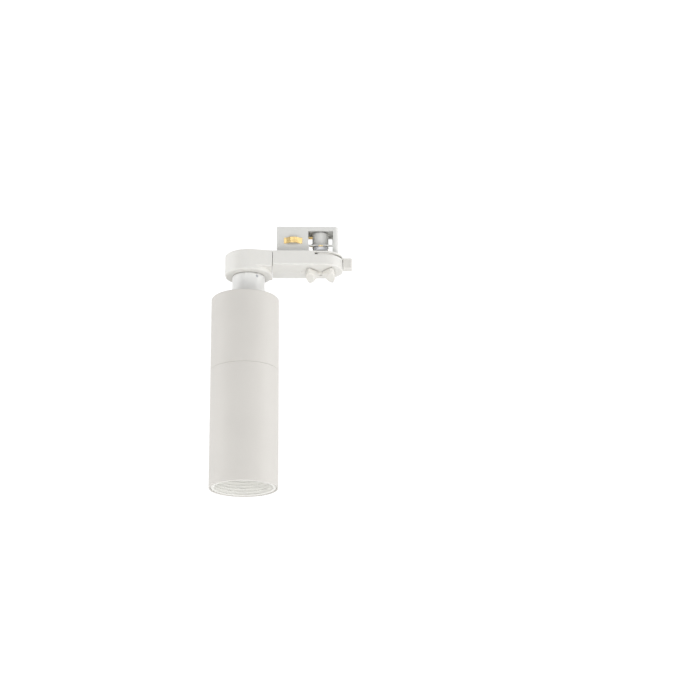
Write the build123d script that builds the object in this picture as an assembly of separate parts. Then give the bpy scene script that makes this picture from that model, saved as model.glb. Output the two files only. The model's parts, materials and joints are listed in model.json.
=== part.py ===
from build123d import *
import math
import os

os.makedirs("parts", exist_ok=True)

# ---------------------------------------------------------------------------
# Track spotlight: three-circuit track adapter, pan hub, neck and a slim
# two-piece tube head for a GU10 lamp.  Millimetres.  +Z is up, z = 0 is the
# adapter's shoulder (the plane that meets the underside of the track), and
# the Z axis is the pan axis.  +X runs along the track, from the hub towards
# the locking lever.
# ---------------------------------------------------------------------------

# adapter shell under the track
SEAM_X = 19.65            # butt joint between hub and adapter shells
SEAM_GAP = 0.40
END_X = 61.10             # centre of the round end
HALF_W = 16.35            # half width of the adapter shell
EDGE_Z = -12.00           # lower edge of the shell's sides
CROWN = 1.00              # the underside falls by this to a ridge on its centreline
WALL = 1.80
FLOOR_IN = -10.60         # inner face of the floor
ROTOR_X = 59.15           # axis of the locking lever and the circuit selector

# lever slot
SLOT_X0 = 54.05
SLOT_TOP, SLOT_BOT = -1.42, -3.17
SLOT_Y1 = 5.20

# hub
HUB_R = 19.35
HUB_BOT = -17.40
HUB_EXT_Z = -13.80          # underside of the hub where it meets the adapter shell
HUB_EDGE = 1.70
HUB_FLOOR_IN = -14.20

# part that goes into the track channel
INS_HALF_W = 9.20
INS_X0, INS_X1 = 23.00, 73.50
INS_TOP = 22.50
CAP_T = 1.60
INS_WALL = 1.60
PLATE_T = 1.10

# lever and selector
LEVER_TUBE_R = 4.60
SHAFT_R = 2.50
RUN = 0.05                # radial running clearance
ARM_HALF_W = 3.60
ARM_TOP, ARM_BOT = -1.62, -2.97
DISC_R = 14.20            # lever plate, just inside the shell's wall
FLANGE_R = 15.75          # part of its rim that fills the slot
FLANGE_A0, FLANGE_A1 = -99.0, -20.0
TAB_X0, TAB_X1 = 77.75, 85.10
TAB_BOT = -10.50
CAM_REACH = 12.30

# knob
KNOB_REACH = 11.70        # from the axis to the middle of a wing's outer face
KNOB_END_R = 40.00        # radius of that face
KNOB_FLARE = 1.15         # how steeply a wing's side runs out from the waist
KNOB_TOP, KNOB_BOT = -13.30, -17.90
KNOB_WAIST = 1.30         # half width where the two wings meet
KNOB_BORE = 1.40          # counterbore for the head of the knob's screw
KNOB_SEAT = -11.45

# neck and pan joint
NECK_R = 13.40
NECK_TOP = -17.80
NIPPLE_R = 5.00
NECK_BORE = 9.60
FLAT_X = 12.40

# head
HEAD_X = -2.50            # head axis, set off from the pan axis
TUBE_R = 27.50
TUBE_RI = 26.30
HEAD_TOP = -37.60
SEAM_Z = -98.80
MOUTH_Z = -195.90
SEAM_H = 0.12
CAP_THICK = 2.50
PIVOT_Z = HEAD_TOP - 14.00
TILT_CLEAR = 13.70        # half width of the tilt slot

# baffle
BAF_R_LIP = 26.00
BAF_BOT = MOUTH_Z + 0.50
BAF_TOP = -150.00
BAF_RI_MOUTH, BAF_RI_TOP = 23.30, 20.60
BAF_PITCH = 2.45
BAF_STEP = 0.38

NODES = {}


def cyl(r, z0, z1, x=0.0, y=0.0):
    lo, hi = min(z0, z1), max(z0, z1)
    return Pos(x, y, (lo + hi) / 2) * Cylinder(r, hi - lo)


def box(x0, x1, y0, y1, z0, z1):
    return Pos((x0 + x1) / 2, (y0 + y1) / 2, (z0 + z1) / 2) * Box(
        abs(x1 - x0), abs(y1 - y0), abs(z1 - z0))


def cylx(r, x0, x1, y, z):
    return Pos((x0 + x1) / 2, y, z) * Rot(0, 90, 0) * Cylinder(r, abs(x1 - x0))


def cyly(r, y0, y1, x, z):
    return Pos(x, (y0 + y1) / 2, z) * Rot(90, 0, 0) * Cylinder(r, abs(y1 - y0))


def prism(points, z0, z1):
    face = make_face(Polyline(*points, close=True))
    return Pos(0, 0, min(z0, z1)) * extrude(face, amount=abs(z1 - z0), dir=(0, 0, 1))


def revolved(points, x=0.0, y=0.0):
    """Closed (r, z) outline turned about a vertical axis at (x, y)."""
    face = make_face(Polyline(*[(r, 0, z) for r, z in points], close=True))
    return Pos(x, y, 0) * revolve(face, axis=Axis.Z)


def edges_at_z(shape, z, tol=0.02):
    return [e for e in shape.edges()
            if abs(e.bounding_box().min.Z - z) < tol and abs(e.bounding_box().max.Z - z) < tol]


def save(name, shape, color=None):
    NODES[name] = shape
    export_step(shape, "parts/" + name + ".step")


# ---------------------------------------------------------------------------
# outlines of the shell
# ---------------------------------------------------------------------------


def adapter_plan(inset, z0, z1, x0):
    hw = HALF_W - inset
    return box(x0, END_X, -hw, hw, z0, z1) + cyl(hw, z0, z1, END_X, 0)


def ridged(shape):
    """Keeps what lies above two planes that meet in a shallow ridge at y = 0."""
    fall = CROWN / HALF_W
    pts = [(0, EDGE_Z - CROWN), (40, EDGE_Z - CROWN + 40 * fall), (40, 20), (-40, 20), (-40, EDGE_Z - CROWN + 40 * fall)]
    face = make_face(Polyline(*[(-60, y, z) for y, z in pts], close=True))
    return shape & extrude(face, amount=180, dir=(1, 0, 0))


def hub_plan(inset, z0, z1, x1):
    """Round hub drawn out by tangents to the width of the adapter shell."""
    r = HUB_R - inset
    hw = HALF_W - inset
    d = math.hypot(x1, hw)
    a = math.atan2(hw, x1) + math.acos(min(1.0, r / d))
    tx, ty = r * math.cos(a), r * math.sin(a)
    return cyl(r, z0, z1) + prism([(0, 0), (tx, ty), (x1, hw), (x1, -hw), (tx, -ty)], z0, z1)


# --- hub housing -----------------------------------------------------------
hub_x1 = SEAM_X - SEAM_GAP / 2
neckdown = hub_plan(0, 0, HUB_EXT_Z, hub_x1)
neckdown = neckdown - box(-60, 0, -60, 60, -60, 10)
side_low = [e for e in edges_at_z(neckdown, HUB_EXT_Z)
            if abs(e.center().Y) > 14 and e.bounding_box().max.X > hub_x1 - 1]
neckdown = fillet(side_low, 1.1)
drum = cyl(HUB_R, 0, HUB_BOT)
drum = fillet(edges_at_z(drum, HUB_BOT), HUB_EDGE)
hub = drum + neckdown
hub = hub - cyl(HUB_R - WALL, 1, HUB_FLOOR_IN)
hub = hub - (hub_plan(WALL, 1, FLOOR_IN, hub_x1 - WALL) - box(-60, 0, -60, 60, -60, 10))
hub = hub - cyl(NIPPLE_R + RUN, HUB_BOT - 1, HUB_FLOOR_IN + 1)
# annular groove for the pan stop, with the stop rib left standing in it
groove = cyl(12.10, HUB_BOT - 1, HUB_BOT + 1.60) - cyl(9.90, HUB_BOT - 2, HUB_BOT + 2)
rib = prism([(0, 0), (-1.75, -20), (1.75, -20)], HUB_BOT - 1, HUB_BOT + 1.60)
hub = hub - (groove - rib)
# seam wall: notch for the mounting plate and a window for the leads
hub = hub - box(hub_x1 - WALL - 0.5, hub_x1 + 1, -HALF_W + WALL, HALF_W - WALL, -PLATE_T - 0.05, 1)
hub = hub - box(hub_x1 - WALL - 0.5, hub_x1 + 1, -4.0, 4.0, -9.0, -PLATE_T - 1.2)
# screw bosses
HUB_BOSS = [(-9.5, 10.5), (-9.5, -10.5)]
for bx, by in HUB_BOSS:
    hub = hub + (cyl(2.9, HUB_FLOOR_IN, -PLATE_T - 0.05, bx, by))
    hub = hub - cyl(1.30, HUB_FLOOR_IN + 2, 1, bx, by)
hub = hub - (cyl(4.4, -PLATE_T - 0.05, 1, *HUB_BOSS[0]) & cyl(HUB_R - WALL, -3, 1))
save("hub_housing", hub)

# --- adapter housing -------------------------------------------------------
ad_x0 = SEAM_X + SEAM_GAP / 2
shell = ridged(adapter_plan(0, 0, EDGE_Z - CROWN - 1, ad_x0))
under = [e for e in shell.edges()
         if e.bounding_box().max.Z < EDGE_Z + 0.6 and e.bounding_box().min.X > ad_x0 - 0.01
         and not (abs(e.bounding_box().max.X - ad_x0) < 0.01)]
shell = fillet(under, 1.0)
shell = shell - adapter_plan(WALL, 1, FLOOR_IN, ad_x0 + WALL)
shell = shell - box(SLOT_X0, 90, -30, SLOT_Y1, SLOT_BOT, SLOT_TOP)
shell = shell - (cyl(FLANGE_R + 0.25, SLOT_BOT, SLOT_TOP, ROTOR_X, 0) & box(40, SLOT_X0 + 0.05, -20, 0, SLOT_BOT, SLOT_TOP))
shell = shell - cyl(SHAFT_R + RUN, FLOOR_IN + 1, EDGE_Z - 3, ROTOR_X, 0)
shell = shell - cyl(0.60, EDGE_Z - 3, EDGE_Z - CROWN + 0.42, 43.0, -2.0)      # moulding gate dimple
shell = shell - box(ad_x0 - 1, ad_x0 + WALL + 0.5, -HALF_W + WALL, HALF_W - WALL, -PLATE_T - 0.05, 1)
shell = shell - box(ad_x0 - 1, ad_x0 + WALL + 0.5, -4.0, 4.0, -9.0, -PLATE_T - 1.2)
AD_BOSS = [(27.5, 11.3), (27.5, -11.3), (45.5, 11.3)]
for bx, by in AD_BOSS:
    shell = shell + cyl(2.9, FLOOR_IN - 0.2, -PLATE_T - 0.05, bx, by)
    shell = shell - cyl(1.30, FLOOR_IN + 1.2, 1, bx, by)
save("adapter_housing", shell)

# --- insert body: mounting plate with the riser that enters the track -------
FIT = 0.05
plate = adapter_plan(WALL + FIT, -PLATE_T, 0, 10.0)
plate = plate + (cyl(HUB_R - WALL - FIT, -PLATE_T, 0))
plate = plate + (hub_plan(WALL + FIT, -PLATE_T, 0, hub_x1 - WALL) - box(-60, 0, -60, 60, -60, 10))
riser = box(INS_X0, INS_X1, -INS_HALF_W, INS_HALF_W, -PLATE_T, INS_TOP)
riser = fillet([e for e in riser.edges().filter_by(Axis.Z) if e.center().X > 60], 3.0)
riser = fillet([e for e in riser.edges().filter_by(Axis.Z) if e.center().X < 40], 1.2)
body = plate + riser
body = body - box(INS_X0 + INS_WALL, INS_X1 - INS_WALL, -INS_HALF_W + INS_WALL,
                  INS_HALF_W - INS_WALL, 0.0, INS_TOP + 1)
body = body - cyl(LEVER_TUBE_R + RUN, -3, 2, ROTOR_X, 0)
# windows for the locking cam, the neutral blade and the circuit blades
body = body - box(ROTOR_X - 9.8, ROTOR_X + 9.8, -20, 20, 2.10, 7.00)
body = body - box(ROTOR_X - 10.2, ROTOR_X + 10.2, -20, 20, 8.20, 20.40)
# lead-through from the riser to the hub
body = body - box(27.0, 37.0, -5.0, 5.0, -3, 1)
# key rib, so that it enters the track one way round only
body = body + box(INS_X0 + 3, INS_X0 + 20, INS_HALF_W - 0.5, INS_HALF_W + 1.10, 2.30, 3.80)
body = body + box(INS_X0 + 3, INS_X0 + 20, INS_HALF_W - 0.5, INS_HALF_W + 0.70, 16.0, 17.2)
# bosses for the top cap's screws, against the end walls
CAP_SCREWS = [(INS_X0 + 3.4, 0.0), (47.3, 5.2)]
body = body + (cyl(2.3, 0.0, INS_TOP, *CAP_SCREWS[0]))
body = body - cyl(1.05, 8, INS_TOP + 1, *CAP_SCREWS[0])
# countersunk holes for the housing screws
PLATE_SCREWS = HUB_BOSS + AD_BOSS
for sx, sy in PLATE_SCREWS:
    body = body - cyl(1.65, -3, 1, sx, sy)
    body = body - cyl(2.85, -0.75, 1, sx, sy)
save("insert_body", body)

# --- insert cap -------------------------------------------------------------
cap = box(INS_X0, INS_X1, -INS_HALF_W, INS_HALF_W, INS_TOP, INS_TOP + CAP_T)
cap = fillet([e for e in cap.edges().filter_by(Axis.Z) if e.center().X > 60], 3.0)
cap = fillet([e for e in cap.edges().filter_by(Axis.Z) if e.center().X < 40], 1.2)
cap = chamfer(edges_at_z(cap, INS_TOP + CAP_T), 0.5)
# locating skirt that drops inside the riser walls
skirt = box(INS_X0 + 7.0, INS_X0 + 22, -INS_HALF_W + INS_WALL + 0.08, INS_HALF_W - INS_WALL - 0.08,
            INS_TOP - 1.2, INS_TOP)
skirt = skirt - box(INS_X0 + 8.2, INS_X0 + 20.8, -6.2, 6.2, INS_TOP - 3, INS_TOP)
cap = cap + skirt
cap = cap - cyl(SHAFT_R + RUN, INS_TOP - 1, INS_TOP + 3, ROTOR_X, 0)
cap = cap - cyl(1.30, INS_TOP - 1, INS_TOP + 3, *CAP_SCREWS[0])
cap = cap - cyl(2.30, INS_TOP + 0.9, INS_TOP + 3, *CAP_SCREWS[0])
save("insert_cap", cap)


def pan_screw(x, y, z_head, head_r, head_h, r, length, up=True):
    """Cross-recess screw standing on Z; the head's top is at z_head."""
    s = 1 if up else -1
    b = cyl(head_r, z_head, z_head - s * head_h, x, y)
    b = b + cyl(r, z_head - s * head_h, z_head - s * length, x, y)
    w = head_r * 0.22
    l = head_r * 0.62
    d = head_h * 0.55
    b = b - box(x - l, x + l, y - w, y + w, z_head - s * d, z_head + s * 0.5)
    b = b - box(x - w, x + w, y - l, y + l, z_head - s * d, z_head + s * 0.5)
    return b


save("cap_screw", pan_screw(CAP_SCREWS[0][0], CAP_SCREWS[0][1], INS_TOP + CAP_T - 0.05, 2.15, 0.65, 1.0, 10.0))
save("housing_screws", Compound(children=[
    pan_screw(sx, sy, -0.05, 2.70, 0.68, 1.25, 8.0) for sx, sy in PLATE_SCREWS]))

# --- earth contact: sprung leaf on the side of the riser ---------------------
leaf_out = [(29.0, -9.25), (31.0, -9.25), (34.5, -11.55), (38.5, -11.55), (42.0, -9.25), (44.0, -9.25),
            (44.0, -9.70), (42.15, -9.70), (38.65, -12.0), (34.35, -12.0), (30.85, -9.70), (29.0, -9.70)]
save("earth_contact", prism(leaf_out, 9.0, 14.0))
# --- detent leaf beside the contact carrier ----------------------------------
save("detent_spring", prism([(45.6, -7.55), (46.0, -7.55), (46.0, -3.2), (51.6, -2.0), (52.1, -0.6), (51.7, -0.5),
                             (51.3, -1.65), (45.6, -2.85)], 18.6, 19.9))

# --- terminal block with its clamp screws ------------------------------------
tb = box(29.0, 41.4, -6.4, 6.4, 3.0, 13.0)
for ty in (-4.1, 0.0, 4.1):
    tb = tb - cylx(1.35, 28.0, 42.4, ty, 6.2)
    tb = tb - cyl(1.55, 7.0, 14.0, 34.0, ty)
save("terminal_block", tb)
save("terminal_screws", Compound(children=[
    pan_screw(34.0, ty, 12.2, 1.45, 1.0, 1.2, 4.4) for ty in (-4.1, 0.0, 4.1)]))

# --- locking lever -----------------------------------------------------------
lever = cyl(DISC_R, ARM_BOT, ARM_TOP, ROTOR_X, 0)
flange = cyl(FLANGE_R, ARM_BOT, ARM_TOP, ROTOR_X, 0) & prism(
    [(ROTOR_X, 0)] + [(ROTOR_X + 30 * math.cos(math.radians(a)), 30 * math.sin(math.radians(a)))
                      for a in (FLANGE_A0, (FLANGE_A0 + FLANGE_A1) / 2, FLANGE_A1)], ARM_BOT, ARM_TOP)
lever = lever + flange
lever = lever + cyl(LEVER_TUBE_R, FLOOR_IN + 0.30, 6.90, ROTOR_X, 0)
lever = lever + box(ROTOR_X, TAB_X1, -ARM_HALF_W, ARM_HALF_W, ARM_BOT, ARM_TOP)
tab = box(TAB_X0, TAB_X1, -ARM_HALF_W, ARM_HALF_W, TAB_BOT, ARM_TOP)
tab = fillet([e for e in tab.edges().filter_by(Axis.Z) if e.center().X > TAB_X1 - 1], 1.2)
lever = lever - box(TAB_X0, TAB_X1 + 1, -9, 9, ARM_BOT - 1, ARM_TOP + 1) + tab
lever = fillet([e for e in lever.edges()
                if abs(e.bounding_box().min.Z - TAB_BOT) < 0.01 and abs(e.bounding_box().max.Z - TAB_BOT) < 0.01
                and e.center().X > TAB_X0 - 0.1], 0.6)
# finger ribs: shallow upright grooves down both flanks and the end
for gx in (79.4, 81.2, 83.0):
    for s in (-1, 1):
        lever = lever - box(gx - 0.35, gx + 0.35, s * (ARM_HALF_W - 0.35), s * (ARM_HALF_W + 1), TAB_BOT + 1.2, ARM_TOP - 1.4)
for gy in (-1.6, 0.0, 1.6):
    lever = lever - box(TAB_X1 - 0.35, TAB_X1 + 1, gy - 0.35, gy + 0.35, TAB_BOT + 1.2, ARM_TOP - 1.4)
lever = lever - cyl(SHAFT_R + RUN, -20, 20, ROTOR_X, 0)
save("locking_lever", lever)

# --- locking cam and neutral blade, both keyed to the lever's tube -----------
cam = box(ROTOR_X - 5.6, ROTOR_X + 5.6, -8.0, 8.0, 2.45, 5.25)
cam = cam + (box(ROTOR_X - 5.6, ROTOR_X + 5.6, -CAM_REACH, CAM_REACH, 2.45, 5.25)
             & cyl(CAM_REACH, 2.45, 5.25, ROTOR_X, 0))
cam = cam - cyl(LEVER_TUBE_R + 0.02, 0, 8, ROTOR_X, 0)
save("locking_cam", cam)
nb = cyl(6.4, 5.55, 6.35, ROTOR_X, 0) + (box(ROTOR_X - 1.8, ROTOR_X + 1.8, -12.2, 0, 5.55, 6.35)
                                         & cyl(12.2, 5, 7, ROTOR_X, 0))
nb = nb - cyl(LEVER_TUBE_R + 0.02, 0, 8, ROTOR_X, 0)
save("neutral_contact", nb)

# --- circuit selector: knob, shaft, carrier and three blades -----------------
slope = KNOB_FLARE
bow = make_face(Polyline((0, KNOB_WAIST), (16, KNOB_WAIST + 16 * slope), (16, -KNOB_WAIST - 16 * slope),
                         (0, -KNOB_WAIST), (-16, -KNOB_WAIST - 16 * slope), (-16, KNOB_WAIST + 16 * slope), close=True))
wings = (Pos(KNOB_REACH - KNOB_END_R, 0) * Circle(KNOB_END_R)) & (Pos(KNOB_END_R - KNOB_REACH, 0) * Circle(KNOB_END_R))
wings = wings & bow
wings = fillet([v for v in wings.vertices() if abs(v.Y) > 8], 1.4)
wings = fillet([v for v in wings.vertices() if abs(v.X) < 0.3], 1.6)
knob = Pos(ROTOR_X, 0, KNOB_BOT) * extrude(wings, amount=KNOB_TOP - KNOB_BOT, dir=(0, 0, 1))
SADDLE_Z = -15.20
SADDLE_R = 8.20
saddle = cyly(SADDLE_R, -30, 30, ROTOR_X, SADDLE_Z - SADDLE_R)
knob = knob - saddle
low = [e for e in knob.edges() if e.bounding_box().max.Z < SADDLE_Z + 0.05]
knob = fillet(low, 0.7)
knob = knob + cyl(2.60, KNOB_TOP, SADDLE_Z + 0.1, ROTOR_X, 0)
knob = knob + cyl(SHAFT_R, KNOB_TOP, -5.0, ROTOR_X, 0)
knob = knob - cyl(1.50, -10.6, -4.0, ROTOR_X, 0)
knob = knob - cyl(KNOB_BORE, -20, KNOB_SEAT, ROTOR_X, 0)
knob = knob - cyl(0.85, -12, -10.0, ROTOR_X, 0)
KNOB_TURN = -4.0          # the knob stands a little off square
knob = Pos(ROTOR_X, 0, 0) * Rot(0, 0, KNOB_TURN) * Pos(-ROTOR_X, 0, 0) * knob
save("selector_knob", knob)

shaft = cyl(SHAFT_R, -4.95, INS_TOP + CAP_T - 0.1, ROTOR_X, 0) + cyl(1.45, -10.45, -4.95, ROTOR_X, 0)
shaft = shaft - cyl(0.76, -12, -6.6, ROTOR_X, 0)
save("selector_shaft", shaft)
save("knob_screw", pan_screw(ROTOR_X, 0, KNOB_SEAT - 1.05, 1.33, 1.0, 0.74, 5.4, up=False))

BLADES = [(90.0, 9.6), (135.0, 13.4), (180.0, 17.2)]


def blade(angle, z0):
    b = (box(5.0, 12.2, -1.6, 1.6, z0, z0 + 0.9) & cyl(12.2, z0 - 1, z0 + 2))
    return Pos(ROTOR_X, 0, 0) * Rot(0, 0, angle) * b


carrier = cyl(6.60, 8.40, 20.10, ROTOR_X, 0) - cyl(SHAFT_R + 0.02, 5, 25, ROTOR_X, 0)
for a, z0 in BLADES:
    carrier = carrier - blade(a, z0)
save("contact_carrier", carrier)
save("circuit_contacts", Compound(children=[blade(a, z0) for a, z0 in BLADES]))

# ---------------------------------------------------------------------------
# pan joint and neck
# ---------------------------------------------------------------------------
neck = cyl(NECK_R, PIVOT_Z, NECK_TOP) + (
    cyl(NECK_R, PIVOT_Z - NECK_R, PIVOT_Z) & cylx(NECK_R, -20, 20, 0, PIVOT_Z))
neck = chamfer(edges_at_z(neck, NECK_TOP), 0.4)
for s in (-1, 1):
    neck = neck - box(s * FLAT_X, s * 30, -30, 30, PIVOT_Z - 30, PIVOT_Z + 13.3)
neck = neck - cyl(NECK_BORE, PIVOT_Z - 30, -24.0)
neck = neck - cyl(NIPPLE_R + 0.02, -30, 0)
neck = neck - cylx(SHAFT_R, -20, 20, 0, PIVOT_Z)
PIN_A = math.radians(90.0)
PIN_POS = (11.0 * math.cos(PIN_A), 11.0 * math.sin(PIN_A))
neck = neck - cyl(0.82, -21.0, -10, *PIN_POS)
GRUB_A = -58.0
GRUB_Z = -20.4
grub_hole = Rot(0, 0, GRUB_A) * cylx(1.27, 4.0, 20.0, 0, GRUB_Z)
neck = neck - grub_hole
neck = neck - (Rot(0, 0, -61.0) * box(NECK_R - 1.6, NECK_R + 1, -1.25, 1.25, NECK_TOP - 0.55, NECK_TOP + 1))
save("neck", neck)
grub = cylx(1.25, NIPPLE_R + 0.05, NECK_R - 0.20, 0, GRUB_Z)
hexr = 0.55
hexpts = [(hexr * math.cos(math.radians(60 * i)), hexr * math.sin(math.radians(60 * i))) for i in range(6)]
hexcut = Pos(NECK_R - 2.2, 0, GRUB_Z) * Rot(0, 90, 0) * extrude(make_face(Polyline(*hexpts, close=True)), amount=4, dir=(0, 0, 1))
grub = Rot(0, 0, GRUB_A) * (grub - hexcut)
save("neck_grub_screw", grub)

nipple = cyl(NIPPLE_R, -24.0, -8.6) - cyl(3.80, -30, 0)
save("pan_nipple", nipple)
save("pan_friction_washer", cyl(8.60, HUB_BOT - 0.05, NECK_TOP) - cyl(NIPPLE_R + 0.1, -30, 0))
save("pan_washer", cyl(9.0, HUB_FLOOR_IN + 0.05, HUB_FLOOR_IN + 0.95) - cyl(NIPPLE_R + 0.1, -30, 0))
nut_r = 14.0 / 2 / math.cos(math.radians(30))
nut = prism([(nut_r * math.cos(math.radians(60 * i)), nut_r * math.sin(math.radians(60 * i))) for i in range(6)],
            HUB_FLOOR_IN + 0.95, HUB_FLOOR_IN + 4.2) - cyl(NIPPLE_R + 0.02, -30, 0)
save("pan_locknut", nut)
save("pan_stop_pin", cyl(0.80, -20.8, HUB_BOT + 1.25, *PIN_POS))

# pivot screws, turned into the neck from both sides
pins = []
for s in (-1, 1):
    p = cylx(4.4, s * 15.06, s * 17.0, 0, PIVOT_Z) + cylx(SHAFT_R - 0.02, s * 9.7, s * 15.06, 0, PIVOT_Z)
    p = p - box(s * 16.2, s * 18, -0.6, 0.6, PIVOT_Z - 3.2, PIVOT_Z + 3.2)
    pins.append(p)
save("pivot_screws", Compound(children=pins))

# ---------------------------------------------------------------------------
# head
# ---------------------------------------------------------------------------
tilt_cut = (box(-TILT_CLEAR, TILT_CLEAR, 0, 60, PIVOT_Z, HEAD_TOP + 5)
            + cyly(TILT_CLEAR, 0, 60, 0, PIVOT_Z)
            + cyl(TILT_CLEAR, HEAD_TOP - 8, HEAD_TOP + 5))

upper = revolved([(TUBE_RI, SEAM_Z + SEAM_H / 2), (TUBE_R - 0.12, SEAM_Z + SEAM_H / 2), (TUBE_R, SEAM_Z + SEAM_H / 2 + 0.12),
                  (TUBE_R, HEAD_TOP), (TUBE_RI, HEAD_TOP)], HEAD_X)
upper = fillet([e for e in edges_at_z(upper, HEAD_TOP) if e.radius > TUBE_R - 0.5], 0.8)
upper = upper - tilt_cut
save("upper_tube", upper)

topcap = cyl(TUBE_RI - 0.06, HEAD_TOP - CAP_THICK, HEAD_TOP, HEAD_X, 0)
topcap = chamfer(edges_at_z(topcap, HEAD_TOP), 0.2)
topcap = topcap - tilt_cut
BRACKET_SCREWS = [(HEAD_X + 21.0, -8.5), (HEAD_X - 21.0, -8.5), (HEAD_X, -21.0)]
for sx, sy in BRACKET_SCREWS:
    topcap = topcap - cyl(1.55, HEAD_TOP - 5, HEAD_TOP - 0.8, sx, sy)
save("top_cap", topcap)

# hinge bracket: plate under the cap with two folded ears
BR_T = 1.50
br_z1 = HEAD_TOP - CAP_THICK - 0.05
br_z0 = br_z1 - BR_T
br = cyl(TUBE_RI - 0.5, br_z0, br_z1, HEAD_X, 0) - tilt_cut
br = br - box(-60, 60, 9.0, 60, br_z0 - 1, br_z1 + 1)
EAR_X0, EAR_X1, EAR_HW = 13.00, 15.00, 6.00
for s in (-1, 1):
    br = br + box(s * EAR_X0, s * EAR_X1, -EAR_HW, EAR_HW, PIVOT_Z, br_z1)
    br = br + cylx(EAR_HW, s * EAR_X0, s * EAR_X1, 0, PIVOT_Z)
for s in (-1, 1):
    br = br - cylx(SHAFT_R + 0.03, s * 12, s * 16, 0, PIVOT_Z)
for sx, sy in BRACKET_SCREWS:
    br = br - cyl(1.65, -60, 0, sx, sy)
save("hinge_bracket", br)
save("hinge_screws", Compound(children=[
    pan_screw(sx, sy, br_z0 - 1.2, 2.7, 1.15, 1.5, 4.2, up=False) for sx, sy in BRACKET_SCREWS]))
save("friction_washers", Compound(children=[
    cylx(5.8, s * (FLAT_X + 0.05), s * (EAR_X0 - 0.05), 0, PIVOT_Z) - cylx(SHAFT_R + 0.1, s * 10, s * 15, 0, PIVOT_Z)
    for s in (-1, 1)]))

# coupling ring between the two tubes
RING_R, RING_RI = TUBE_RI - 0.05, 23.80
RING_TOP, RING_BOT = SEAM_Z + 7.0, SEAM_Z - 7.5
ring = revolved([(RING_RI, RING_BOT), (RING_R - 0.5, RING_BOT), (RING_R, RING_BOT + 0.6), (RING_R, SEAM_Z - 4.6),
                 (RING_R - 0.9, SEAM_Z - 4.6), (RING_R - 0.9, SEAM_Z - 3.0), (RING_R, SEAM_Z - 3.0),
                 (RING_R, RING_TOP), (RING_RI, RING_TOP)], HEAD_X)
RING_SCREW_A = [90.0, 210.0, 330.0]
for a in RING_SCREW_A:
    ring = ring - (Pos(HEAD_X, 0, 0) * Rot(0, 0, a) * cylx(1.22, 20, 30, 0, SEAM_Z + 4.0))
LEG_A = [0.0, 180.0]
for a in LEG_A:
    ring = ring - (Pos(HEAD_X, 0, 0) * Rot(0, 0, a) * cylx(1.22, 20, 25.6, 0, SEAM_Z + 1.5))
save("coupling_ring", ring)
save("ring_grub_screws", Compound(children=[
    Pos(HEAD_X, 0, 0) * Rot(0, 0, a) * cylx(1.20, RING_RI + 0.1, RING_R - 0.02, 0, SEAM_Z + 4.0) for a in RING_SCREW_A]))
oring = Pos(HEAD_X, 0, SEAM_Z - 3.8) * Torus(RING_R - 0.45, 0.40)
save("seal_ring", oring)

# lampholder on its strap
LH_TOP, LH_BOT = -70.0, -86.5
STRAP_Z1 = -68.6
strap = box(HEAD_X - 23.4, HEAD_X + 23.4, -4.0, 4.0, LH_TOP, STRAP_Z1)
strap = strap + box(HEAD_X - 12.5, HEAD_X + 12.5, -8.5, 8.5, LH_TOP, STRAP_Z1)
for s in (-1, 1):
    strap = strap + box(HEAD_X + s * 22.2, HEAD_X + s * 23.4, -4.0, 4.0, SEAM_Z - 2.5, STRAP_Z1)
for s in (-1, 1):
    strap = strap - cylx(1.3, HEAD_X + s * 21, HEAD_X + s * 24.5, 0, SEAM_Z + 1.5)
LH_SCREWS = [(HEAD_X, 6.6), (HEAD_X, -6.6)]
for sx, sy in LH_SCREWS:
    strap = strap - cyl(1.35, -75, -60, sx, sy)
for sx in (HEAD_X - 8.0, HEAD_X + 8.0):
    strap = strap - cyl(2.0, -75, -60, sx, 0)
save("lampholder_strap", strap)
save("strap_screws", Compound(children=[
    (cylx(2.2, HEAD_X + s * 20.8, HEAD_X + s * 22.15, 0, SEAM_Z + 1.5)
     + cylx(1.20, HEAD_X + s * 22.15, HEAD_X + s * 25.4, 0, SEAM_Z + 1.5))
    - box(HEAD_X + s * 20.5, HEAD_X + s * 21.5, -0.4, 0.4, SEAM_Z + 0.0, SEAM_Z + 3.0) for s in (-1, 1)]))

holder = cyl(13.0, LH_BOT, LH_TOP - 0.05, HEAD_X, 0)
holder = fillet(edges_at_z(holder, LH_BOT), 1.0)
holder = holder - box(HEAD_X - 20, HEAD_X + 20, 9.6, 20, -100, -60) - box(HEAD_X - 20, HEAD_X + 20, -20, -9.6, -100, -60)
PIN_R5 = 5.0
TWIST = 28.0


def arc_slot(r_mid, half, a0, a1, z0, z1):
    pts = []
    n = 10
    for i in range(n + 1):
        a = math.radians(a0 + (a1 - a0) * i / n)
        pts.append(((r_mid + half) * math.cos(a), (r_mid + half) * math.sin(a)))
    for i in range(n, -1, -1):
        a = math.radians(a0 + (a1 - a0) * i / n)
        pts.append(((r_mid - half) * math.cos(a), (r_mid - half) * math.sin(a)))
    s = prism(pts, z0, z1)
    for a in (a0, a1):
        s = s + cyl(half, z0, z1, r_mid * math.cos(math.radians(a)), r_mid * math.sin(math.radians(a)))
    return Pos(HEAD_X, 0, 0) * s


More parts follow.
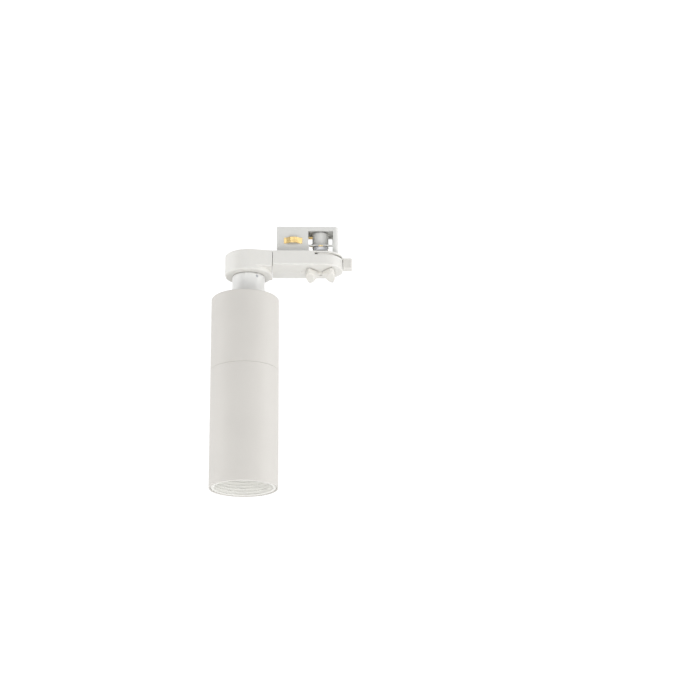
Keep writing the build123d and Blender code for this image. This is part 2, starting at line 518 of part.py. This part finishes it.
for base in (0.0, 180.0):
    holder = holder - arc_slot(PIN_R5, 2.85, base, base + TWIST, LH_BOT + 1.9, LH_BOT + 9.5)
    holder = holder - arc_slot(PIN_R5, 2.05, base, base + TWIST, LH_BOT - 1, LH_BOT + 2.5)
    holder = holder - cyl(2.85, LH_BOT - 1, LH_BOT + 3, HEAD_X + PIN_R5 * math.cos(math.radians(base + TWIST)),
                          PIN_R5 * math.sin(math.radians(base + TWIST)))
for sx, sy in LH_SCREWS:
    holder = holder - cyl(1.25, LH_TOP - 6, -60, sx, sy)
for sx in (HEAD_X - 8.0, HEAD_X + 8.0):
    holder = holder - cyl(1.15, LH_TOP - 4.0, -60, sx, 0)
save("lampholder", holder)
save("lampholder_screws", Compound(children=[
    pan_screw(sx, sy, STRAP_Z1 + 1.25, 2.3, 1.2, 1.2, 6.0) for sx, sy in LH_SCREWS]))
save("lampholder_contacts", Compound(children=[
    (arc_slot(PIN_R5, 2.2, base + 4, base + TWIST - 4, LH_BOT + 8.4, LH_BOT + 9.3)) for base in (0.0, 180.0)]))

# ---------------------------------------------------------------------------
# front tube with its baffle
# ---------------------------------------------------------------------------
lower = revolved([(TUBE_RI, SEAM_Z - SEAM_H / 2), (TUBE_R - 0.12, SEAM_Z - SEAM_H / 2), (TUBE_R, SEAM_Z - SEAM_H / 2 - 0.12),
                  (TUBE_R, MOUTH_Z + 0.3), (TUBE_R - 0.3, MOUTH_Z), (TUBE_RI + 0.2, MOUTH_Z), (TUBE_RI, MOUTH_Z + 0.2),
                  (TUBE_RI, BAF_TOP - 0.2), (TUBE_RI - 0.9, BAF_TOP - 0.2), (TUBE_RI - 0.9, BAF_TOP + 1.2),
                  (TUBE_RI, BAF_TOP + 1.9)], HEAD_X)
save("front_tube", lower)

# baffle: stepped bore, one sharp ridge per step
pts = []
z = BAF_BOT
n = int((BAF_TOP - BAF_BOT - 1.5) / BAF_PITCH)
inner = []
for i in range(n + 1):
    zi = BAF_BOT + i * BAF_PITCH
    t = (zi - BAF_BOT) / (BAF_TOP - BAF_BOT)
    ri = BAF_RI_MOUTH + (BAF_RI_TOP - BAF_RI_MOUTH) * t
    inner.append((ri, zi + 0.45))
    inner.append((ri + BAF_STEP, zi + 0.75))
    inner.append((ri + BAF_STEP * 0.45, zi + BAF_PITCH - 0.30))
ztop = BAF_TOP - 0.25
inner = [p for p in inner if p[1] < ztop - 0.2]
outline = ([(BAF_RI_MOUTH + 0.35, BAF_BOT), (BAF_R_LIP - 0.25, BAF_BOT), (BAF_R_LIP, BAF_BOT + 0.25), (BAF_R_LIP, BAF_BOT + 2.2)]
           + [(BAF_R_LIP - 0.45, BAF_BOT + 2.9), (BAF_RI_TOP + 2.6, ztop - 2.0), (TUBE_RI - 0.06, ztop - 2.0), (TUBE_RI - 0.06, ztop), (BAF_RI_TOP + 0.1, ztop)]
           + inner[::-1])
baffle = revolved(outline, HEAD_X)
save("baffle_ring", baffle)
# split spring ring that holds the baffle up against the tube's inner shoulder
clip = Pos(HEAD_X, 0, ztop - 2.0 - 0.55) * Torus(TUBE_RI - 0.62, 0.50)
clip = clip - (Pos(HEAD_X, 0, 0) * prism([(0, 0), (40, -2.5), (40, 2.5)], -200, -100))
save("baffle_spring_ring", clip)

# ---------------------------------------------------------------------------
# lamp
# ---------------------------------------------------------------------------
lb = revolved([(0, LH_BOT - 0.3), (12.4, LH_BOT - 0.3), (13.0, LH_BOT - 0.9), (13.6, LH_BOT - 6.0), (0, LH_BOT - 6.0)], HEAD_X)
save("lamp_base", lb)
pinset = []
for base in (0.0, 180.0):
    px = HEAD_X + PIN_R5 * math.cos(math.radians(base))
    py = PIN_R5 * math.sin(math.radians(base))
    pinset.append(cyl(1.65, LH_BOT - 0.3, LH_BOT + 3.0, px, py) + cyl(2.45, LH_BOT + 3.0, LH_BOT + 5.4, px, py))
save("lamp_pins", Compound(children=pinset))
LAMP_FRONT = -142.0
zt = LH_BOT - 6.0
lbody = revolved([(0, zt), (14.6, zt), (17.2, zt - 4.5), (18.6, zt - 11), (21.4, zt - 24), (24.2, zt - 38), (24.9, zt - 43),
                  (24.9, LAMP_FRONT + 0.4), (24.5, LAMP_FRONT), (23.2, LAMP_FRONT), (22.9, LAMP_FRONT + 0.3), (22.9, LAMP_FRONT + 3.0),
                  (20.5, LAMP_FRONT + 5.0), (9.0, LAMP_FRONT + 16.0), (0, LAMP_FRONT + 16.0)], HEAD_X)
# cooling grooves round the lamp's waist
for i in range(20):
    g = box(15.6, 30, -0.9, 0.9, zt - 20, zt - 3.0)
    lbody = lbody - (Pos(HEAD_X, 0, 0) * Rot(0, 0, 18.0 * i + 9.0) * (g - cyl(17.0, -300, 0)))
save("lamp_body", lbody)
lens = revolved([(0, LAMP_FRONT + 0.9), (22.5, LAMP_FRONT + 0.9), (22.8, LAMP_FRONT + 1.2), (22.8, LAMP_FRONT + 2.9), (0, LAMP_FRONT + 2.9)], HEAD_X)
save("lamp_lens", lens)
led = box(HEAD_X - 5, HEAD_X + 5, -5, 5, LAMP_FRONT + 14.8, LAMP_FRONT + 15.95)
save("lamp_led", led)


# ---------------------------------------------------------------------------
# leads, held all the way inside the body.  Each runs in three lengths, one
# per rigid body, which meet on the pan axis and at the tilt pivot.
# ---------------------------------------------------------------------------
def lead(points, r=0.85, bend=3.0):
    path = FilletPolyline(*points, radius=bend)
    sec = Plane(origin=path @ 0, z_dir=path % 0) * Circle(r)
    return sweep(sec, path=path)


OFF = [(-2.05, 0.0), (1.05, 1.75), (1.05, -1.75)]
LEAD_Z = -5.6
save("adapter_leads", Compound(children=[
    lead([(30.6 + 1.4 * abs(oy) / 1.75, oy, 1.8), (30.6 + 1.4 * abs(oy) / 1.75, oy, LEAD_Z), (ox, oy, LEAD_Z), (ox, oy, -15.0)], bend=2.6)
    for ox, oy in OFF]))
save("neck_leads", Compound(children=[cyl(0.85, -15.2, -63.6, ox, oy) for ox, oy in OFF]))
save("lampholder_leads", Compound(children=[
    lead([(HEAD_X + s * 8.0, 0, LH_TOP - 3.6), (HEAD_X + s * 8.0, 0, -66.9), (HEAD_X + s * 2.0, 0, -66.9)], r=0.75, bend=1.6)
    for s in (-1, 1)]))

print(len(NODES), "nodes")
for k, v in NODES.items():
    bb = v.bounding_box()
    print(k, "solids", len(v.solids()), "vol", round(v.volume, 1),
          "x", round(bb.min.X, 2), round(bb.max.X, 2), "y", round(bb.min.Y, 2), round(bb.max.Y, 2), "z", round(bb.min.Z, 2), round(bb.max.Z, 2))
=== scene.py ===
import json
import math

import bmesh
import bpy
from mathutils import Matrix, Vector

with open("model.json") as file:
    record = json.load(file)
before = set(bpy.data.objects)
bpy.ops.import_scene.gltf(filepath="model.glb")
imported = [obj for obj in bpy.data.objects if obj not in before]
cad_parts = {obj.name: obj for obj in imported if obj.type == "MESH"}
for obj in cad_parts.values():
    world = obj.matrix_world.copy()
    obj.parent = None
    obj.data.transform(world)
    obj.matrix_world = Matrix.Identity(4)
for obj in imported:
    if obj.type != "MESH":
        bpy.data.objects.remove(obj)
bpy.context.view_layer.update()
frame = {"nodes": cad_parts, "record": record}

SC = bpy.context.scene
NODES = frame["nodes"]

# ---------------------------------------------------------------------------
# view and light
# ---------------------------------------------------------------------------
SC.view_settings.view_transform = "Standard"
SC.view_settings.look = "None"
SC.view_settings.exposure = 0.0
SC.view_settings.gamma = 1.0


def make_camera():
    pitch, roll, yaw = (math.radians(a) for a in (18.82, -0.585, 2.23))
    fw = Vector((math.sin(yaw) * math.cos(pitch), math.cos(yaw) * math.cos(pitch), math.sin(pitch)))
    rt = Vector((math.cos(yaw), -math.sin(yaw), 0.0))
    up = rt.cross(fw)
    c, s = math.cos(roll), math.sin(roll)
    x, y, z = c * rt + s * up, -s * rt + c * up, -fw
    data = bpy.data.cameras.new("Camera")
    data.sensor_fit = "HORIZONTAL"
    data.sensor_width = 36.0
    data.lens = 36.0 * 1764.0 / 700.0
    data.clip_start, data.clip_end = 0.02, 60.0
    cam = bpy.data.objects.new("Camera", data)
    SC.collection.objects.link(cam)
    cam.matrix_world = Matrix(((x[0], y[0], z[0], 0.030), (x[1], y[1], z[1], -1.354),
                               (x[2], y[2], z[2], -0.542), (0, 0, 0, 1)))
    SC.camera = cam


make_camera()

FRONT_SKY = 0.380     # room side, towards the viewer of the main view
BACK_SKY = 1.127      # lit backdrop side


def make_world():
    world = bpy.data.worlds.new("Studio")
    SC.world = world
    world.use_nodes = True
    nt = world.node_tree
    nt.nodes.clear()
    out = nt.nodes.new("ShaderNodeOutputWorld")
    bg = nt.nodes.new("ShaderNodeBackground")
    co = nt.nodes.new("ShaderNodeTexCoord")
    sep = nt.nodes.new("ShaderNodeSeparateXYZ")
    ramp = nt.nodes.new("ShaderNodeMapRange")
    ramp.interpolation_type = "SMOOTHSTEP"
    ramp.inputs["From Min"].default_value = -0.25
    ramp.inputs["From Max"].default_value = 0.45
    ramp.inputs["To Min"].default_value = FRONT_SKY
    ramp.inputs["To Max"].default_value = BACK_SKY
    bg.inputs["Color"].default_value = (1.0, 1.0, 1.0, 1.0)
    nt.links.new(co.outputs["Generated"], sep.inputs["Vector"])
    nt.links.new(sep.outputs["Y"], ramp.inputs["Value"])
    nt.links.new(ramp.outputs["Result"], bg.inputs["Strength"])
    nt.links.new(bg.outputs["Background"], out.inputs["Surface"])


make_world()


def softbox(name, place, target, size_x, size_y, power, colour=(1, 1, 1)):
    data = bpy.data.lights.new(name, "AREA")
    data.shape = "RECTANGLE"
    data.size, data.size_y = size_x, size_y
    data.energy = power
    data.color = colour
    ob = bpy.data.objects.new(name, data)
    SC.collection.objects.link(ob)
    ob.location = place
    ob.rotation_mode = "QUATERNION"
    ob.rotation_quaternion = (Vector(target) - Vector(place)).to_track_quat("-Z", "Y")
    ob.visible_camera = False
    return ob


AIM = (0.02, 0.0, -0.09)
softbox("Soft_right", (1.45, -0.25, -0.05), AIM, 0.9, 1.5, 9.4)
softbox("Soft_left", (-1.45, -0.15, -0.05), AIM, 0.9, 1.5, 7.0)
softbox("Soft_below", (0.0, -0.25, -1.15), AIM, 1.4, 1.4, 1.3)
softbox("Soft_low_front", (0.0, -1.10, -1.05), AIM, 1.0, 0.6, 6.1)
softbox("Soft_high_front", (0.0, -1.30, 0.35), AIM, 1.2, 0.6, 3.2)

# ---------------------------------------------------------------------------
# materials: all procedural, in object coordinates (metres)
# ---------------------------------------------------------------------------


class Mat:
    """Small helper round one Principled material."""

    def __init__(self, name):
        self.m = bpy.data.materials.new(name)
        self.m.use_nodes = True
        self.nt = self.m.node_tree
        self.nt.nodes.clear()
        self.out = self.n("ShaderNodeOutputMaterial")
        self.p = self.n("ShaderNodeBsdfPrincipled")
        self.l(self.p.outputs["BSDF"], self.out.inputs["Surface"])
        self.co = self.n("ShaderNodeTexCoord").outputs["Object"]

    def n(self, kind):
        return self.nt.nodes.new(kind)

    def l(self, a, b):
        self.nt.links.new(a, b)

    def mapped(self, scale=(1, 1, 1), loc=(0, 0, 0), rot=(0, 0, 0)):
        mp = self.n("ShaderNodeMapping")
        mp.inputs["Scale"].default_value = scale
        mp.inputs["Location"].default_value = loc
        mp.inputs["Rotation"].default_value = rot
        self.l(self.co, mp.inputs["Vector"])
        return mp.outputs["Vector"]

    def noise(self, size, detail=2.0, rough=0.5, vec=None, distortion=0.0):
        t = self.n("ShaderNodeTexNoise")
        t.inputs["Scale"].default_value = 1.0 / size
        t.inputs["Detail"].default_value = detail
        t.inputs["Roughness"].default_value = rough
        t.inputs["Distortion"].default_value = distortion
        self.l(vec or self.co, t.inputs["Vector"])
        return t.outputs["Fac"]

    def voronoi(self, size, vec=None, feature="SMOOTH_F1", out="Distance", rand=1.0):
        t = self.n("ShaderNodeTexVoronoi")
        t.feature = feature
        t.inputs["Scale"].default_value = 1.0 / size
        t.inputs["Randomness"].default_value = rand
        self.l(vec or self.co, t.inputs["Vector"])
        return t.outputs[out]

    def rng(self, val, a, b, lo, hi, smooth=False):
        r = self.n("ShaderNodeMapRange")
        if smooth:
            r.interpolation_type = "SMOOTHSTEP"
        r.inputs["From Min"].default_value = a
        r.inputs["From Max"].default_value = b
        r.inputs["To Min"].default_value = lo
        r.inputs["To Max"].default_value = hi
        self.l(val, r.inputs["Value"])
        return r.outputs["Result"]

    def math(self, op, a, b):
        m = self.n("ShaderNodeMath")
        m.operation = op
        for i, v in enumerate((a, b)):
            if isinstance(v, (int, float)):
                m.inputs[i].default_value = v
            else:
                self.l(v, m.inputs[i])
        return m.outputs[0]

    def mix(self, fac, a, b):
        m = self.n("ShaderNodeMix")
        m.data_type = "RGBA"
        for sock, v in ((m.inputs["Factor"], fac), (m.inputs["A"], a), (m.inputs["B"], b)):
            if isinstance(v, tuple):
                sock.default_value = (*v, 1.0) if len(v) == 3 else v
            elif isinstance(v, (int, float)):
                sock.default_value = v
            else:
                self.l(v, sock)
        return m.outputs["Result"]

    def bump(self, height, distance, strength=1.0, after=None):
        b = self.n("ShaderNodeBump")
        b.inputs["Distance"].default_value = distance
        b.inputs["Strength"].default_value = strength
        self.l(height, b.inputs["Height"])
        if after is not None:
            self.l(after, b.inputs["Normal"])
        return b.outputs["Normal"]

    def set(self, **kw):
        names = {"metallic": "Metallic", "ior": "IOR", "spec": "Specular IOR Level", "coat": "Coat Weight",
                 "coat_rough": "Coat Roughness", "sheen": "Sheen Weight", "sheen_rough": "Sheen Roughness",
                 "sss": "Subsurface Weight", "sss_scale": "Subsurface Scale", "trans": "Transmission Weight",
                 "aniso": "Anisotropic", "alpha": "Alpha"}
        for k, v in kw.items():
            if k == "sss_radius":
                self.p.inputs["Subsurface Radius"].default_value = v
            elif k == "emit":
                self.p.inputs["Emission Color"].default_value = (*v[:3], 1.0)
                self.p.inputs["Emission Strength"].default_value = v[3]
            else:
                self.p.inputs[names[k]].default_value = v
        return self

    def colour(self, c):
        self.l(c, self.p.inputs["Base Color"])

    def rough(self, r):
        self.l(r, self.p.inputs["Roughness"])

    def normal(self, n):
        self.l(n, self.p.inputs["Normal"])


def shade(c, k):
    return tuple(max(0.0, min(1.0, v * k)) for v in c)


def moulded(name, base, rough, grain=0.00045, depth=0.000012, cloud=0.022, vary=0.03, drift=None, **kw):
    """Moulded plastic: spark-eroded texture, faint flow clouding and uneven gloss."""
    m = Mat(name)
    big = m.noise(cloud, 3.0, 0.55)
    flow = m.noise(0.009, 2.0, 0.5, m.mapped((1.0, 1.0, 0.25)), 0.6)
    fac = m.rng(m.math("ADD", m.math("MULTIPLY", big, 0.65), m.math("MULTIPLY", flow, 0.35)), 0.32, 0.68, 0.0, 1.0, True)
    other = drift or shade(base, 1.0 - vary)
    col = m.mix(fac, base, other)
    specks = m.rng(m.voronoi(0.0034, feature="F1"), 0.0, 0.045, 1.0, 0.0, True)
    col = m.mix(m.math("MULTIPLY", specks, 0.16), col, shade(base, 0.80))
    m.colour(col)
    g = m.noise(grain, 3.0, 0.6)
    m.rough(m.math("ADD", m.rng(big, 0.3, 0.7, rough - 0.035, rough + 0.035), m.rng(g, 0.3, 0.7, -0.03, 0.03)))
    n1 = m.bump(m.noise(0.0042, 1.0), 0.000020, 0.55)
    m.normal(m.bump(g, depth, 0.8, n1))
    m.set(**kw)
    return m.m


def powder(name, base, rough, peel=0.0011, depth=0.00003, **kw):
    """Powder coat: orange peel over a fine grit, slightly uneven tone and gloss."""
    m = Mat(name)
    big = m.noise(0.035, 3.0, 0.5)
    mid = m.noise(0.0016, 2.0, 0.5)
    grit = m.noise(0.00038, 3.0, 0.65)
    col = m.mix(m.rng(big, 0.33, 0.67, 0.0, 1.0, True), base, shade(base, 0.972))
    col = m.mix(m.rng(grit, 0.35, 0.66, 0.0, 0.30, True), col, shade(base, 0.915))
    m.colour(col)
    m.rough(m.math("ADD", m.rng(mid, 0.3, 0.7, rough - 0.05, rough + 0.05), m.rng(grit, 0.3, 0.7, -0.04, 0.04)))
    n1 = m.bump(m.voronoi(peel), depth, 0.35)
    m.normal(m.bump(grit, depth * 0.55, 0.6, n1))
    m.set(**kw)
    return m.m


def metal(name, base, rough, tint=None, brush=None, cell=0.0022, depth=0.000008, stain=0.25, **kw):
    """Bare or plated metal: crystal or brushed grain, uneven gloss and faint tarnish."""
    m = Mat(name)
    vec = m.mapped(brush) if brush else m.co
    grain = m.noise(0.0011 if brush else cell, 4.0, 0.6, vec)
    cells = m.voronoi(cell, vec, "F1", "Color")
    sep = m.n("ShaderNodeSeparateColor")
    m.l(cells, sep.inputs["Color"])
    cellv = sep.outputs["Red"]
    tint = tint or shade(base, 0.78)
    stained = m.rng(m.noise(0.006, 4.0, 0.6, distortion=0.4), 0.44, 0.70, 0.0, stain, True)
    col = m.mix(m.math("MULTIPLY", cellv, 0.35 if not brush else 0.12), base, shade(base, 0.86))
    col = m.mix(stained, col, tint)
    m.colour(col)
    m.rough(m.math("ADD", m.rng(grain, 0.3, 0.7, rough - 0.07, rough + 0.07), m.math("MULTIPLY", stained, 0.25)))
    m.normal(m.bump(grain, depth, 0.8))
    m.set(metallic=1.0, **kw)
    return m.m


M = {}
WHITE_TUBE = (0.714, 0.691, 0.654)
M["tube_powder"] = powder("tube_powder", WHITE_TUBE, 0.52, spec=0.42)
M["baffle_plastic"] = moulded("baffle_plastic", (0.92, 0.912, 0.872), 0.50, vary=0.02, grain=0.0005)
M["neck_gloss"] = moulded("neck_gloss", (0.84, 0.84, 0.826), 0.33, grain=0.0012, depth=0.000010, vary=0.018, coat=0.18, coat_rough=0.16)
M["adapter_plastic"] = moulded("adapter_plastic", (0.825, 0.815, 0.78), 0.42, vary=0.022, sss=0.04, sss_scale=0.0008, sss_radius=(1.0, 0.9, 0.75))
M["lever_plastic"] = moulded("lever_plastic", (0.825, 0.808, 0.768), 0.42, vary=0.022)
M["knob_plastic"] = moulded("knob_plastic", (0.84, 0.82, 0.77), 0.38, vary=0.022, sss=0.05, sss_scale=0.0009, sss_radius=(1.0, 0.88, 0.7))
M["insert_plastic"] = moulded("insert_plastic", (0.80, 0.80, 0.775), 0.46, vary=0.04)
M["terminal_plastic"] = moulded("terminal_plastic", (0.16, 0.17, 0.18), 0.45, vary=0.12)
M["nylon"] = moulded("nylon", (0.70, 0.675, 0.60), 0.38, vary=0.06, sss=0.08, sss_scale=0.001)
M["seal_rubber"] = moulded("seal_rubber", (0.035, 0.034, 0.034), 0.62, grain=0.0003, depth=0.00002, vary=0.25)
M["zinc_steel"] = metal("zinc_steel", (0.62, 0.63, 0.66), 0.34, tint=(0.46, 0.45, 0.40))
M["black_steel"] = metal("black_steel", (0.055, 0.053, 0.052), 0.42, tint=(0.09, 0.07, 0.055))
M["spring_steel"] = metal("spring_steel", (0.50, 0.50, 0.51), 0.27, tint=(0.38, 0.33, 0.25), brush=(1.0, 1.0, 8.0))
M["aluminium_raw"] = metal("aluminium_raw", (0.72, 0.725, 0.74), 0.36, brush=(1.0, 1.0, 14.0), tint=(0.60, 0.60, 0.60), stain=0.18)
M["brass"] = metal("brass", (0.80, 0.60, 0.27), 0.28, tint=(0.45, 0.29, 0.12), brush=(1.0, 9.0, 1.0))


def make_ceramic():
    m = Mat("ceramic")
    big = m.noise(0.012, 4.0, 0.6)
    grain = m.noise(0.0005, 4.0, 0.7)
    col = m.mix(m.rng(big, 0.3, 0.7, 0.0, 1.0, True), (0.80, 0.78, 0.71), (0.74, 0.715, 0.64))
    col = m.mix(m.rng(m.voronoi(0.0018, feature="F1"), 0.0, 0.10, 0.5, 0.0, True), col, (0.50, 0.46, 0.38))
    m.colour(col)
    m.rough(m.rng(grain, 0.3, 0.7, 0.55, 0.80))
    m.normal(m.bump(grain, 0.00004, 0.7, m.bump(big, 0.00008, 0.6)))
    M["ceramic"] = m.m


def make_sheath():
    m = Mat("lead_sheath")
    big = m.noise(0.006, 2.0, 0.5)
    grain = m.noise(0.0003, 2.0, 0.6)
    col = m.mix(m.rng(big, 0.3, 0.7, 0.0, 1.0, True), (0.74, 0.73, 0.70), (0.66, 0.65, 0.61))
    m.colour(col)
    m.rough(m.rng(grain, 0.3, 0.7, 0.40, 0.56))
    m.normal(m.bump(grain, 0.00001, 0.7))
    m.set(sss=0.06, sss_scale=0.0008)
    M["lead_sheath"] = m.m


def make_lamp_shell():
    m = Mat("lamp_shell")
    big = m.noise(0.012, 3.0, 0.5)
    grain = m.noise(0.0005, 3.0, 0.6)
    col = m.mix(m.rng(big, 0.3, 0.7, 0.0, 1.0, True), (0.78, 0.78, 0.765), (0.72, 0.72, 0.70))
    col = m.mix(m.rng(grain, 0.36, 0.66, 0.0, 0.25, True), col, (0.62, 0.62, 0.61))
    m.colour(col)
    m.rough(m.rng(grain, 0.3, 0.7, 0.30, 0.46))
    m.normal(m.bump(grain, 0.00001, 0.8))
    M["lamp_shell"] = m.m


def make_glass():
    m = Mat("lamp_glass")
    big = m.noise(0.004, 3.0, 0.5)
    col = m.mix(m.rng(big, 0.3, 0.7, 0.0, 1.0, True), (0.93, 0.945, 0.95), (0.88, 0.90, 0.905))
    m.colour(col)
    m.rough(m.rng(m.noise(0.0006, 2.0), 0.3, 0.7, 0.10, 0.24))
    m.normal(m.bump(m.noise(0.0012, 2.0), 0.00001, 0.5))
    m.set(trans=0.82, ior=1.49)
    M["lamp_glass"] = m.m


def make_board():
    m = Mat("led_board")
    cells = m.voronoi(0.0012, feature="F1", rand=0.0)
    big = m.noise(0.003, 3.0, 0.5)
    col = m.mix(m.rng(cells, 0.10, 0.45, 1.0, 0.0, True), (0.80, 0.79, 0.72), (0.86, 0.64, 0.10))
    col = m.mix(m.rng(big, 0.3, 0.7, 0.0, 0.3, True), col, (0.70, 0.50, 0.10))
    m.colour(col)
    m.rough(m.rng(big, 0.3, 0.7, 0.35, 0.55))
    m.normal(m.bump(cells, 0.00006, 0.7))
    M["led_board"] = m.m


make_ceramic(); make_sheath(); make_lamp_shell(); make_glass(); make_board()

# ---------------------------------------------------------------------------
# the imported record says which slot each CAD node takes
# ---------------------------------------------------------------------------
NODE_SLOT = {}
for sub in frame["record"].get("subparts", []):
    nm = sub.get("node") or sub.get("name")
    sl = sub.get("material_slot") or sub.get("slot") or sub.get("material")
    if nm and sl:
        NODE_SLOT[nm] = sl


def paint(ob, slot):
    ob.data.materials.clear()
    ob.data.materials.append(M[slot])


for name, ob in NODES.items():
    paint(ob, NODE_SLOT.get(name, "adapter_plastic"))

# ---------------------------------------------------------------------------
# floor
# ---------------------------------------------------------------------------


def make_floor():
    bm = bmesh.new()
    bmesh.ops.create_grid(bm, x_segments=24, y_segments=24, size=4.0)
    for v in bm.verts:
        v.co.z = -1.30
    me = bpy.data.meshes.new("Floor")
    bm.to_mesh(me)
    bm.free()
    ob = bpy.data.objects.new("Floor", me)
    SC.collection.objects.link(ob)
    m = Mat("floor_paper")
    big = m.noise(0.6, 3.0, 0.5)
    grain = m.noise(0.004, 3.0, 0.6)
    col = m.mix(m.rng(big, 0.3, 0.7, 0.0, 1.0, True), (0.80, 0.80, 0.795), (0.775, 0.775, 0.77))
    m.colour(m.mix(m.rng(grain, 0.35, 0.65, 0.0, 0.2, True), col, (0.74, 0.74, 0.735)))
    m.rough(m.rng(grain, 0.3, 0.7, 0.82, 0.94))
    m.normal(m.bump(grain, 0.0004, 0.4))
    me.materials.append(m.m)


make_floor()
